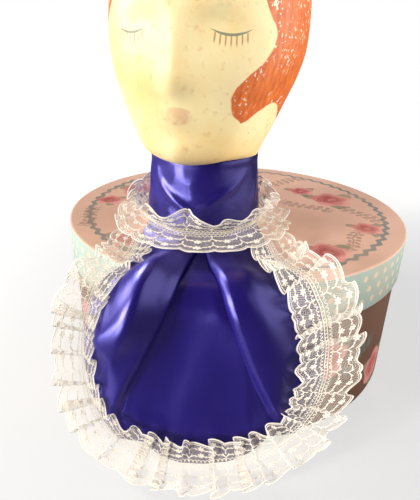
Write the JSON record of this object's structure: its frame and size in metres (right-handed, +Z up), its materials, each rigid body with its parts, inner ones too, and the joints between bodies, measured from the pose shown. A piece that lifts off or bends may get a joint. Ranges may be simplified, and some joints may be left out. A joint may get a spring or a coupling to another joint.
{
  "type": "jabot collar on a display head and hat box",
  "caption": "Pleated satin jabot collar with gathered lace round its bib and neck, resting on a smooth display head that stands on a lidded round hat box.",
  "frame": {"origin": "centre of the hat box's flat underside", "axes": "+Z up, -Y towards the wearer's front, where the bib hangs, +X to the wearer's left"},
  "size_m": [0.35, 0.4137, 0.4275],
  "materials": {
    "blue_satin": "glossy satin weave, royal blue",
    "ivory_lace": "soft net ground with corded flowers, ivory",
    "cream_paint": "smooth cream paint with a low sheen",
    "peach_card": "papered card, peach",
    "brown_card": "papered card, brown"
  },
  "bodies": {
    "root": {"neckband": "blue_satin", "bib": "blue_satin", "bib_lace": "ivory_lace", "neck_lace": "ivory_lace", "display_head": "cream_paint", "hat_box_lid": "peach_card", "hat_box": "brown_card"}
  },
  "joints": []
}
